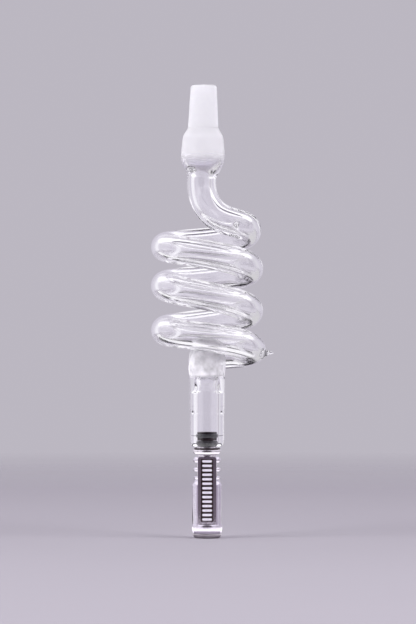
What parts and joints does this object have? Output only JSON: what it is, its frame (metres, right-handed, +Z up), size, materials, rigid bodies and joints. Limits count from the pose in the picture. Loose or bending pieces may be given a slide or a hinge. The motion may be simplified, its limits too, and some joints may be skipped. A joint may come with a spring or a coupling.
{
  "type": "coiled glass vaporizer stem",
  "caption": "Hand-blown coiled glass cooling stem with a ground taper joint on top and a pull-off metal tip and finned cap below.",
  "frame": {"origin": "centre of the cap's flat closed end, the lowest point of the part", "axes": "+Z up the socket and cap axis towards the ground joint; +X towards the seal-off point; -Y is the front, the side on which the neck joins the coil"},
  "size_m": [0.0407, 0.0372, 0.151],
  "materials": {
    "clear_glass": "clear, fire-polished",
    "ground_glass": "ground, frosted",
    "tip_metal": "turned, satin",
    "polished_steel": "machined and polished",
    "spring_steel": "rolled",
    "ring_rubber": "matte"
  },
  "bodies": {
    "glass": {"ground_joint": "ground_glass", "shoulder_bulb": "clear_glass", "neck_tube": "clear_glass", "coil_turn_1": "clear_glass", "coil_turn_2": "clear_glass", "coil_turn_3": "clear_glass", "return_leg": "clear_glass", "seal_off_point": "clear_glass", "socket_tube": "clear_glass"},
    "seals": {"upper_o_ring": "ring_rubber", "lower_o_ring": "ring_rubber"},
    "tip": {"tip_body": "tip_metal"},
    "screen": {"bowl_screen": "spring_steel"},
    "cup": {"heat_cup": "tip_metal", "disc_clip": "spring_steel"},
    "discs": {"snap_disc_outer": "spring_steel", "snap_disc_inner": "spring_steel"},
    "cap": {"cap_shell": "polished_steel", "end_plug": "polished_steel", "cup_clip": "spring_steel"}
  },
  "joints": [
    {"name": "tip_pull", "type": "slide", "parent": "glass", "child": "seals", "axis": [0, 0, -1], "range_m": [0, 0.012]},
    {"name": "tip_twist", "type": "hinge", "parent": "seals", "child": "tip", "pos_m": [0, 0, 0.0325], "axis": [0, 0, 1], "continuous": true},
    {"name": "screen_shift", "type": "slide", "parent": "tip", "child": "screen", "axis": [0, 0, -1], "range_m": [0, 0.003]},
    {"name": "cap_pull", "type": "slide", "parent": "tip", "child": "cup", "axis": [0, 0, -1], "range_m": [0, 0.022]},
    {"name": "cap_spin", "type": "hinge", "parent": "cup", "child": "cap", "pos_m": [0, 0, 0.014], "axis": [0, 0, 1], "continuous": true},
    {"name": "disc_click", "type": "slide", "parent": "cup", "child": "discs", "axis": [0, 0, 1], "range_m": [0, 0.0003]}
  ]
}
